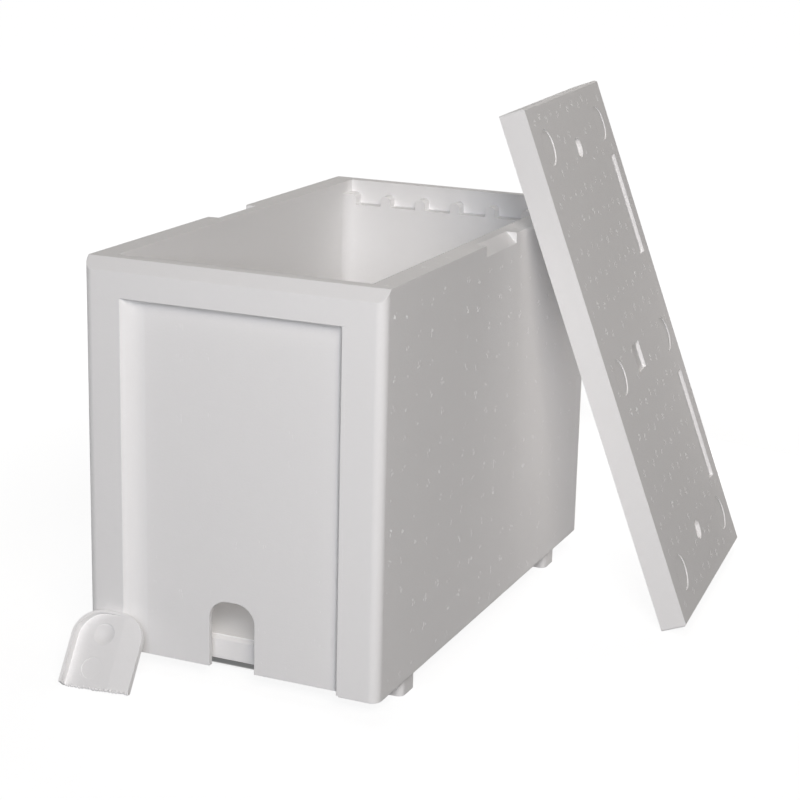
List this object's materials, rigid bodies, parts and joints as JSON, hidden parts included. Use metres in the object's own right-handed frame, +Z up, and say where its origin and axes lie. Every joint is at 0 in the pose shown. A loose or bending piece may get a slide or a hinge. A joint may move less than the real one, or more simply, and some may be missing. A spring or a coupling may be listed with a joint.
{
  "type": "nucleus beehive box",
  "caption": "White moulded foam nucleus box for bees with frame rests and an arched entrance, its slab lid leaning on the rim and the entrance closure leaning in front.",
  "frame": {"origin": "middle of the whole set's footprint, on the ground", "axes": "+Z up; -Y out of the front wall with the entrance; +X towards the leaning lid"},
  "size_m": [0.4698, 0.6552, 0.495],
  "materials": {
    "body_foam": "moulded bead foam, matt, with a fine skin of fused beads",
    "lid_foam": "moulded bead foam, matt, with rows of short steam marks on its top",
    "closure_foam": "moulded bead foam, matt, with a broken lower edge"
  },
  "bodies": {
    "box": {"hive_body": "body_foam"},
    "lid": {"lid": "lid_foam"},
    "closure": {"entrance_closure": "closure_foam"}
  },
  "joints": [
    {"name": "lid_lift", "type": "slide", "parent": "box", "child": "lid", "axis": [0, 0, 1], "range_m": [0, 0.4]},
    {"name": "closure_lift", "type": "slide", "parent": "box", "child": "closure", "axis": [0, 0, 1], "range_m": [0, 0.4]}
  ]
}
